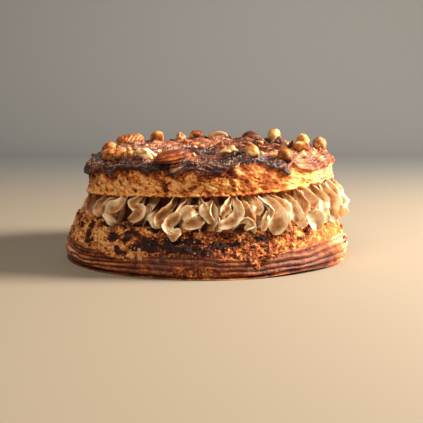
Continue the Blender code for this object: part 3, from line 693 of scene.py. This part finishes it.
toppings = {
    # bearing, distance from the ring's middle, length, width, height
    "chopped": [(-157.8, 76.5, 7, 5, 4.5), (-169.5, 67.4, 6.5, 5, 4.5), (-141.7, 76.3, 5, 4, 3.5),
        (176.5, 59.2, 6, 4, 3.5), (-174.3, 76.9, 6, 5, 5), (-133.3, 76.3, 5, 3.5, 3), (-128, 86, 4, 3, 2.5),
        (-148, 83, 4, 3, 3), (148, 63.7, 5, 4, 3.5), (145, 52, 5, 4, 3.5), (103, 53.4, 4, 3, 3), (-100, 72, 4, 3, 2.5),
        (-72, 90, 4, 3, 2.5), (20, 70, 5, 4, 3), (60, 80, 6, 4, 4), (-10, 84, 4, 3, 3), (-30, 70, 5, 4, 3),
        (-57, 75, 3.5, 3, 2.5)],
    "flakes": [(115.4, 76, 8, 5, 3.5), (76.8, 77, 5, 4, 3.5), (71.4, 77, 4.5, 4, 3.5), (31, 70.8, 9, 6, 4),
        (5, 69, 8, 6, 5.5), (78.7, 55.4, 7, 5, 3), (-139, 98, 6, 5, 4), (-107, 97, 7, 5, 4), (-178, 97, 6, 5, 4),
        (44, 88, 7, 5, 3)],
    "upright": [(108.5, 63.7, 7, 4, 8)],
    "sliver": {"bearing": -115.6, "from": 12.7, "to": 22.5, "width": 3.4, "thick": 1.3},
    "sugar": {"count": 1500, "size": 0.72, "seed": 5},
    "crumbs": {"count": 260, "size": 1.7, "seed": 9},
    # larger flakes on the lower half: bearing, height, width, length
    "edge": [(-6, 24, 6, 3.5), (-11, 14, 5.5, 4), (-16, 19, 4, 3), (-168, 26, 4, 3)],
}


def putBit(mesh, ball, mark, seed, spot, normal, size, yaw, ragged=0.5, sink=0.3):
    turn = normal.to_track_quat("Z", "Y") @ Quaternion((0, 0, 1), yaw)
    middle = spot + normal * size[2] * (0.5 - sink)
    for vert in copyBall(mesh, ball):
        shape = vert.co * (1 + ragged * noise(1.1 * vert.co + Vector((seed, 0, seed))))
        vert[mark] = wave(seed, 3, 0)
        vert.co = middle + turn @ Vector([0.5 * size[k] * shape[k] for k in range(3)])


def newBits(fineness):
    return newBall("roast", bmesh.ops.create_icosphere, subdivisions=fineness)


def fromAbove(skin, bearing, distance):  # the place and slope under a point of the ring
    start = distance * outwardAt(bearing) + 200 * upwards + Vector(upperHalf["shift"])
    return skin.ray_cast(start, -upwards)[:2]


def fromOutside(skin, bearing, height, above=0):  # the same where a line from outside meets the ring
    start = 150 * outwardAt(bearing) + (height + above) * upwards
    return skin.ray_cast(start, -(50 * outwardAt(bearing) + above * upwards).normalized())[:2]


def layBits(skin, rows, ragged, lean=0.0):
    mesh, ball, mark = newBits(3)
    for number, (bearing, distance, *size) in enumerate(rows):
        spot, normal = fromAbove(skin, bearing, distance)
        normal = (normal + upwards + Vector((sin(number), cos(number), 0)) * lean).normalized()
        putBit(mesh, ball, mark, 3.1 * number, spot, normal, size, 1.9 * number, ragged)
    return mesh


def strewSugar(skin):
    spec = toppings["sugar"]
    draw = random.Random(spec["seed"])
    mesh, ball, mark = newBits(1)
    for number in range(spec["count"]):
        rope = draw.random() < 0.6
        bearing = draw.uniform(-180, -46) if rope else draw.uniform(-180, 180)
        distance = draw.uniform(88, 101) if rope else draw.uniform(58, 99)
        spot, normal = fromAbove(skin, bearing, distance)
        size = spec["size"] * draw.uniform(0.7, 1.3)
        putBit(mesh, ball, mark, number, spot, normal, (size, 0.8 * size, 0.8 * size), number, 0.6, 0.2)
    return mesh


def strewCrumbs(skin):  # loose crumbs along the rim of the lower half and on its ridges
    spec = toppings["crumbs"]
    draw = random.Random(spec["seed"])
    mesh, ball, mark = newBits(1)
    for number in range(spec["count"]):
        bearing = draw.uniform(-180, 180)
        height = draw.choice((draw.uniform(12, 34), draw.uniform(24, 34)))
        spot, normal = fromOutside(skin, bearing, height, 20)
        size = spec["size"] * draw.uniform(0.6, 1.4)
        if spot:
            putBit(mesh, ball, mark, number, spot, normal, (size, 0.8 * size, 0.7 * size), number, 0.7, 0.25)
    return mesh


def layFlakes(skin):
    mesh, ball, mark = newBits(3)
    for number, (bearing, height, wide, long) in enumerate(toppings["edge"]):
        spot, normal = fromOutside(skin, bearing, height)
        normal = (outwardAt(bearing) + 0.3 * normal + 0.4 * noise_vector(spot)).normalized()
        putBit(mesh, ball, mark, 2.3 * number, spot, normal, (wide, long, 2.6), 1.3 * number, 1.0, 0.1)
    return mesh


def shapeSliver(skin):  # a sliver of almond that stands against the crumb
    spec = toppings["sliver"]
    bearing = spec["bearing"]
    spot = fromOutside(skin, bearing, 0.5 * (spec["from"] + spec["to"]))[0]
    mesh = bmesh.new()
    bmesh.ops.create_cube(mesh, size=1)
    bmesh.ops.bevel(mesh, geom=mesh.edges[:], offset=0.22, segments=3, affect="EDGES", profile=0.5, material=-1)
    mark = mesh.verts.layers.float.new("roast")
    for vert in mesh.verts:
        x, y, z = vert.co
        vert[mark] = 0.1
        vert.co = Vector((x * spec["thick"], y * spec["width"] * (1 - 0.5 * z), z * (spec["to"] - spec["from"])))
    mesh.transform(Matrix.Rotation(radians(5), 4, "X"))
    mesh.transform(Matrix.Translation(spot + 0.5 * outwardAt(bearing)) @ Matrix.Rotation(radians(bearing), 4, "Z"))
    return mesh


class Signal:  # what a shader node gives out, for use in sums and products
    def __init__(self, socket):
        self.socket = socket

    def __add__(self, other):
        return addMath("ADD", self, other)

    def __sub__(self, other):
        return addMath("SUBTRACT", self, other)

    def __rsub__(self, other):
        return addMath("SUBTRACT", other, self)

    def __mul__(self, other):
        return addMath("MULTIPLY", self, other)

    def clamped(self):
        self.socket.node.use_clamp = True
        return self


def plug(value, socket):  # a signal is linked, a number or colour is set
    if isinstance(value, Signal):
        socket.id_data.links.new(value.socket, socket)
    else:
        socket.default_value = (*value, 1) if socket.type == "RGBA" else value


def addNode(tree, kind, output, inputs=None, **settings):
    node = tree.nodes.new("ShaderNode" + kind)
    for name, value in settings.items():
        setattr(node, name, value)
    for name, value in (inputs or {}).items():
        plug(value, node.inputs[name])
    return Signal(node.outputs[output])


def addMath(operation, a, b):
    tree = (a if isinstance(a, Signal) else b).socket.id_data
    return addNode(tree, "Math", "Value", {0: a, 1: b}, operation=operation)


def addNoise(tree, scale, detail, roughness):
    inputs = {"Scale": scale, "Detail": detail, "Roughness": roughness}
    return addNode(tree, "TexNoise", "Fac", {"Vector": addNode(tree, "TexCoord", "Object"), **inputs})


def addAttribute(tree, name):
    return addNode(tree, "Attribute", "Fac", attribute_name=name)


def addRamp(source, stops):  # stops: (position, red, green, blue)
    ramp = addNode(source.socket.id_data, "ValToRGB", "Color", {"Fac": source})
    elements = ramp.socket.node.color_ramp.elements
    while len(elements) < len(stops):
        elements.new(0.5)
    for element, (position, *colour) in zip(elements, stops):
        element.position = position
        element.color = (*colour, 1)
    return ramp


def addMix(factor, a, b):
    return addNode(factor.socket.id_data, "Mix", "Result", {"Factor": factor, "A": a, "B": b}, data_type="RGBA")


def addRange(source, low, high, toLow=0.0, toHigh=1.0):
    inputs = {"Value": source, "From Min": low, "From Max": high, "To Min": toLow, "To Max": toHigh}
    return addNode(source.socket.id_data, "MapRange", "Result", inputs, interpolation_type="SMOOTHSTEP")


def addGrains(tree, scale, stir):  # small cells: how far from the middle, then three random values for each
    coords = addNode(tree, "TexCoord", "Object")
    loose = addNode(tree, "TexNoise", "Color", {"Vector": coords, "Scale": scale / 2})
    stirred = {0: loose, 1: (stir * metresPerMm,) * 3, 2: coords}
    moved = addNode(tree, "VectorMath", "Vector", stirred, operation="MULTIPLY_ADD")
    far = addNode(tree, "TexVoronoi", "Distance", {"Vector": moved, "Scale": scale})
    red = addNode(tree, "SeparateColor", "Red", {"Color": Signal(far.socket.node.outputs["Color"])})
    return [far, red] + [Signal(red.socket.node.outputs[name]) for name in ("Green", "Blue")]


def newMaterial(name, specular):
    material = bpy.data.materials.new(name)
    material.use_nodes = True
    shader = material.node_tree.nodes["Principled BSDF"]
    plug(specular, shader.inputs["Specular IOR Level"])
    return material, material.node_tree, shader


def dress(shader, colour, roughness, *layers):  # layers of bumps: source, strength, distance in mm
    plug(colour, shader.inputs["Base Color"])
    plug(roughness, shader.inputs["Roughness"])
    normal = None
    for source, strength, distance in layers:
        inputs = {"Height": source, "Strength": strength, "Distance": distance * metresPerMm}
        if normal:
            inputs["Normal"] = normal
        normal = addNode(shader.id_data, "Bump", "Normal", inputs)
    if normal:
        plug(normal, shader.inputs["Normal"])


crustLook = {
    "dough": [(0.15, 0.050, 0.010, 0.004), (0.40, 0.19, 0.042, 0.013), (0.60, 0.36, 0.105, 0.036),
        (0.80, 0.56, 0.20, 0.080), (0.98, 0.75, 0.49, 0.29)],
    "crumb": [(0.12, 0.045, 0.008, 0.005), (0.34, 0.25, 0.048, 0.012), (0.54, 0.54, 0.165, 0.032),
        # the last stop is darker than the one before it: painted shade for the crumb that faces the key light
        (0.74, 0.76, 0.32, 0.075), (0.90, 0.88, 0.53, 0.22), (1.0, 0.32, 0.225, 0.115)],
    "burnt": [(0.20, 0.009, 0.005, 0.008), (0.50, 0.030, 0.010, 0.008), (0.72, 0.095, 0.024, 0.012),
        (0.95, 0.24, 0.070, 0.024)],
    # the colour of painted shade in grooves and creases
    "creaseShade": (0.026, 0.006, 0.004),
    "sugar": (0.62, 0.50, 0.41),
}


def crustMaterial(name, gritty):  # gritty: how far each small grain of the crumb differs from the next
    material, tree, shader = newMaterial(name, 0.22)
    torn, scorch, tone, grooveShade, sugar, wet, mild = (addAttribute(tree, n) for n in crustMarks)
    grit = addNoise(tree, 560, 6, 0.72)
    sharp = addRange(grit, 0.36, 0.64)
    mottle = addRange(addNoise(tree, 230, 4, 0.6), 0.3, 0.7)
    patches = addRange(addNoise(tree, 70, 3, 0.6), 0.3, 0.7)
    fine = addNoise(tree, 1300, 2, 0.6)
    far, red, green, blue = addGrains(tree, 850, 1.0)  # crumbs a millimetre or so across
    dough = addRamp(mottle * 0.25 + patches * 0.2 + sharp * 0.12 + red * 0.08 + tone * 0.5, crustLook["dough"])
    rugged = 1.0 - mild * 0.65
    grains = (red + sharp - 1.0) * (0.62 * gritty)
    crumb = addRamp(grains * rugged + patches * 0.16 + tone * 0.52 + 0.18, crustLook["crumb"])
    colour = addMix(torn, dough, crumb)
    loosely = (green - 0.5) * 0.55 + (grit - 0.5) * 1.1
    singed = loosely * (torn * (gritty - 0.3) + 0.3) + scorch  # crumb chars grain by grain
    burnt = addRamp(blue * 0.4 + sharp * 0.4 + tone * 0.25, crustLook["burnt"])
    colour = addMix(addRange(singed, 0.40, 0.56), colour, burnt)
    # painted shade: near black where the groove mark is high
    colour = addMix((grooveShade * 0.9).clamped(), colour, crustLook["creaseShade"])
    grainFar, grainRed = addGrains(tree, 1200, 0.4)[:2]
    specks = addRange(grainRed, 0.66, 0.70) * addRange(grainFar, 0.55, 0.35)
    specks = (specks * (sugar * 0.75)).clamped()
    colour = addMix(specks, colour, crustLook["sugar"])
    rough = addRange(torn * 0.35 + grit * 0.4, 0.1, 0.6, 0.48, 0.85) - wet * 0.32
    loose = (1.0 - far) * torn * rugged
    bumps = [(grit * rugged, 0.7 * gritty, 0.9), (loose, 0.8 * gritty, 0.8), (specks, 0.5, 0.3), (fine, 0.3, 0.2)]
    dress(shader, colour, rough, *bumps)
    return material


# from pale rims to dark brown: the darker stops are painted shade in valleys and recesses
creamLook = [(0.10, 0.84, 0.67, 0.45), (0.34, 0.72, 0.52, 0.31), (0.60, 0.46, 0.21, 0.065), (0.90, 0.18, 0.056, 0.018)]


def creamMaterial(name):
    material, tree, shader = newMaterial(name, 0.4)
    valley = addAttribute(tree, "valley")
    soft, grain = addNoise(tree, 90, 3, 0.5), addNoise(tree, 900, 3, 0.6)
    # darker patches from noise, stronger where the valley mark is high
    valleyPatches = addRange(addNoise(tree, 130, 2, 0.5), 0.54, 0.64) * (valley + 0.35)
    # the valley mark brings painted shade into the tone
    tone = addRange(soft, 0.3, 0.7) * 0.40 + valley * 0.60 + valleyPatches * 0.18
    plug(0.08, shader.inputs["Subsurface Weight"])
    plug((0.004, 0.002, 0.001), shader.inputs["Subsurface Radius"])
    plug(1.0, shader.inputs["Subsurface Scale"])
    bumps = [(soft, 0.3, 0.6), (grain, 0.25, 0.12)]
    dress(shader, addRamp(tone, creamLook), addRange(grain, 0.3, 0.7, 0.36, 0.55), *bumps)
    return material


nutLooks = {  # from hardly roasted to dark
    "hazelnut": [(0.05, 0.70, 0.44, 0.19), (0.32, 0.54, 0.25, 0.070), (0.55, 0.38, 0.125, 0.024),
        (0.78, 0.20, 0.052, 0.011), (1.0, 0.075, 0.020, 0.008)],
    "skin": [(0.02, 0.54, 0.27, 0.12), (0.16, 0.34, 0.12, 0.045), (0.4, 0.18, 0.052, 0.017),
        (0.75, 0.060, 0.018, 0.009)],
    "half": [(0.1, 0.84, 0.68, 0.46), (0.8, 0.66, 0.40, 0.17)],
    "split": [(0.05, 0.70, 0.44, 0.19), (0.4, 0.54, 0.22, 0.055), (0.75, 0.36, 0.11, 0.022),
        (1.0, 0.14, 0.036, 0.010)],
    "pecan": [(0.0, 0.54, 0.25, 0.095), (0.30, 0.42, 0.125, 0.024), (0.60, 0.26, 0.054, 0.009),
        (0.95, 0.085, 0.018, 0.006)],
    "piece": [(0.0, 0.84, 0.70, 0.49), (0.35, 0.70, 0.44, 0.20), (0.8, 0.28, 0.085, 0.020)],
}
rindLook = [(0.35, 0.10, 0.030, 0.012), (0.6, 0.42, 0.15, 0.04)]  # round the cut face of a half
creaseColour = (0.075, 0.018, 0.008)  # in a pecan's wrinkles and a nut's seam


def nutMaterial(kind):
    material, tree, shader = newMaterial(kind + "Nut", 0.18)
    valley, roast = addAttribute(tree, "valley"), addAttribute(tree, "roast")
    patches, grain = addNoise(tree, 190, 5, 0.66), addNoise(tree, 900, 4, 0.65)
    tone = addRange(patches, 0.36, 0.64) * 0.34 + grain * 0.2 + roast * 0.80 - 0.10
    colour = addRamp(tone, nutLooks[kind])
    if kind == "half":
        colour = addMix(valley, colour, addRamp(patches, rindLook))
    if kind in ("pecan", "split"):
        colour = addMix((valley * 0.75).clamped(), colour, creaseColour)
    dress(shader, colour, addRange(grain, 0.3, 0.7, 0.36, 0.62), (patches, 0.4, 0.6), (grain, 0.35, 0.15))
    return material


def bitMaterial(kind):  # for crumbs, sugar, flakes and chopped nuts
    material, tree, shader = newMaterial(kind + "Bits", 0.25)
    rough = 0.45 if kind == "sugar" else 0.6
    grain = addNoise(tree, 900, 4, 0.65)
    tone = addRange(grain, 0.36, 0.64) * 0.6 + addAttribute(tree, "roast") * 0.8 + 0.15
    rough = addRange(grain, 0.3, 0.7, rough - 0.1, rough + 0.15)
    dress(shader, addRamp(tone, bitLooks[kind]), rough, (grain, 0.4, 0.25))
    return material


def floorMaterial():  # pale below, grey where it turns up behind
    material, tree, shader = newMaterial("paleFloor", 0.2)
    depth = addNode(tree, "SeparateXYZ", "Y", {"Vector": addNode(tree, "TexCoord", "Object")})
    dress(shader, addRamp(addRange(depth, 0.25, 0.9), [(0.0, *studio["floor"]), (1.0, *studio["wall"])]), 0.7)
    return material


lowerMesh, upperMesh = shapeLowerHalf(), shapeUpperHalf()
lowerSkin, upperSkin = BVHTree.FromBMesh(lowerMesh), BVHTree.FromBMesh(upperMesh)
finishPiece("lower_crust", lowerMesh, crustMaterial("lowerCrust", 0.72), ["base"])
finishPiece("upper_crust", upperMesh, crustMaterial("upperCrust", 0.5), ["lid"])
print("both halves: done")

praline = creamMaterial("pralineCream")
finishPiece("cream_front", shapeSwirls(range(12, 24), 112, 40), praline, ["cream"])
finishPiece("cream_back", shapeSwirls(range(12), 112, 40), praline, ["cream"])
finishPiece("cream_inside", shapeSwirls(range(24, 33), 84, 28), praline, ["cream"])
finishPiece("cream_folds_front", shapeFolds(cream["folds"]), praline, ["cream"])
finishPiece("cream_folds_back", shapeFolds(foldRow()), praline, ["cream"])
finishPiece("cream_heart", shapeHeart(), praline, ["cream"])
print("cream: done")

nutMaterials = {kind: nutMaterial(kind) for kind in nutLooks}
for number, name in enumerate(nuts):
    kind = nuts[name][0]
    finishPiece(name + "_nut", shapeNut(name, 2.7 * number), nutMaterials[kind], [name])
print("nuts: done")

bitLooks = {
    "chopped": [(0.1, 0.80, 0.60, 0.36), (0.5, 0.66, 0.36, 0.13), (0.9, 0.32, 0.10, 0.025)],
    "flakes": [(0.1, 0.26, 0.075, 0.030), (0.5, 0.10, 0.026, 0.014), (0.9, 0.022, 0.009, 0.008)],
    "upright": [(0.1, 0.50, 0.17, 0.05), (0.5, 0.30, 0.06, 0.02), (0.9, 0.12, 0.02, 0.012)],
    "sliver": [(0.1, 0.62, 0.34, 0.19), (0.5, 0.52, 0.26, 0.13), (0.9, 0.36, 0.15, 0.06)],
    "sugar": [(0.1, 0.80, 0.70, 0.60), (0.9, 0.60, 0.47, 0.36)],
    "crumbs": [(0.1, 0.80, 0.44, 0.15), (0.5, 0.50, 0.16, 0.035), (0.9, 0.12, 0.03, 0.012)],
}
looks = {kind: bitMaterial(kind) for kind in bitLooks}
finishPiece("chopped_nuts", layBits(upperSkin, toppings["chopped"], 0.9), looks["chopped"], [])
finishPiece("burnt_flakes", layBits(upperSkin, toppings["flakes"], 0.8, 0.2), looks["flakes"], [])
finishPiece("skin_flake", layBits(upperSkin, toppings["upright"], 0.8, 0.4), looks["upright"], [])
finishPiece("almond_sliver", shapeSliver(lowerSkin), looks["sliver"], [])
finishPiece("edge_flakes", layFlakes(lowerSkin), looks["upright"], [])
finishPiece("sugar_grains", strewSugar(upperSkin), looks["sugar"], [], False)
finishPiece("loose_crumbs", strewCrumbs(lowerSkin), looks["crumbs"], [], False)
print("toppings: done")

studio = {
    "floor": (0.27, 0.225, 0.175), "wall": (0.20, 0.20, 0.20),
    "world": (1.0, 0.93, 0.84), "worldStrength": 0.08,
    "sweep": (1.3, 0.35),  # where the floor turns up behind, and how roundly
    "key": {"at": (0.98, -0.06, 0.60), "aim": (0, 0, 0.04), "size": 0.42, "power": 54, "colour": (1.0, 0.90, 0.76)},
    "fill": {"at": (-0.30, -0.72, 0.92), "aim": (0, 0, 0.04), "size": 0.6, "power": 9, "colour": (1.0, 0.90, 0.76)},
    "backdrop": {"at": (0.0, 0.6, 1.1), "aim": (0, 1.3, 0.3), "size": 0.8, "power": 3, "colour": (1.0, 1.0, 1.0)},
}


def shapeFloor():  # a sheet that lies flat and turns up behind
    back, roundness = studio["sweep"]
    mesh = bmesh.new()
    corners = [mesh.verts.new(p) for p in ((-4, -4, 0), (-4, back, 0), (-4, back, 3))]
    side = [mesh.edges.new(pair) for pair in zip(corners, corners[1:])]
    swept = bmesh.ops.extrude_edge_only(mesh, edges=side)["geom"]
    bmesh.ops.translate(mesh, verts=[v for v in swept if isinstance(v, bmesh.types.BMVert)], vec=(8, 0, 0))
    fold = [e for e in mesh.edges if all(abs(v.co.y - back) < 1e-6 and abs(v.co.z) < 1e-6 for v in e.verts)]
    bmesh.ops.bevel(mesh, geom=fold, offset=roundness, segments=16, affect="EDGES", profile=0.5, material=-1)
    return mesh


def aimAt(thing, target):
    thing.rotation_euler = (Vector(target) - thing.location).to_track_quat("-Z", "Y").to_euler()


floor = finishMesh("floor", shapeFloor(), floorMaterial())

world = bpy.data.worlds.new("studio")
bpy.context.scene.world = world
world.use_nodes = True
background = world.node_tree.nodes["Background"]
plug(studio["world"], background.inputs["Color"])
plug(studio["worldStrength"], background.inputs["Strength"])

for name in ("key", "fill", "backdrop"):
    spec = studio[name]
    light = bpy.data.lights.new(name, "AREA")
    light.size = spec["size"]
    light.energy = spec["power"]
    light.color = spec["colour"]
    lamp = addObject(name, light)
    lamp.location = spec["at"]
    aimAt(lamp, spec["aim"])

view = {"distance": 0.930, "elevation": 10.06, "aim": (0.0041, 0, 0.0356), "lens": 93.6}
tilt = radians(view["elevation"])
lens = bpy.data.cameras.new("camera")
lens.lens = view["lens"]
lens.sensor_width = 36
camera = addObject("camera", lens)
camera.location = (0, -view["distance"] * cos(tilt), view["distance"] * sin(tilt))
aimAt(camera, view["aim"])
bpy.context.scene.camera = camera
bpy.context.scene.view_settings.view_transform = "Standard"
print("studio: done")
